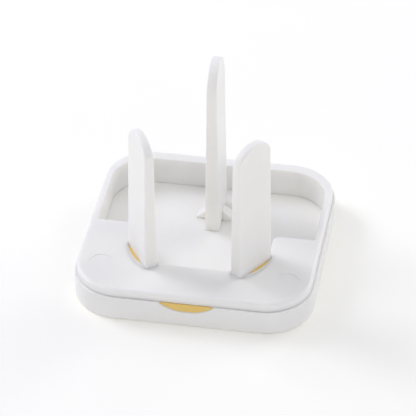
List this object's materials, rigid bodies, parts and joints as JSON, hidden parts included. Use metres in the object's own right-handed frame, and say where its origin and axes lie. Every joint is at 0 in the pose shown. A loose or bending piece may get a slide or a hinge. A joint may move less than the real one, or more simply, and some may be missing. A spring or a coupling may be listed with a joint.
{
  "type": "outlet safety cover",
  "caption": "Plug-in safety cover for a wall socket: a square room-side cover with plastic blades, a yellow inner plate and a white frame with a deep pocket behind its deck",
  "frame": {"origin": "centre of the flat room-side face, on which the cover lies with its blades up", "axes": "X to the right seen from the finger notch, Y from the live blades towards the earth blade, Z along the blades into the socket"},
  "size_m": [0.03, 0.03, 0.0248],
  "materials": {
    "white_plastic": "satin",
    "yellow_plastic": "satin"
  },
  "bodies": {
    "root": {"outer_cover": "white_plastic", "inner_plate": "yellow_plastic", "socket_frame": "white_plastic"}
  },
  "joints": []
}
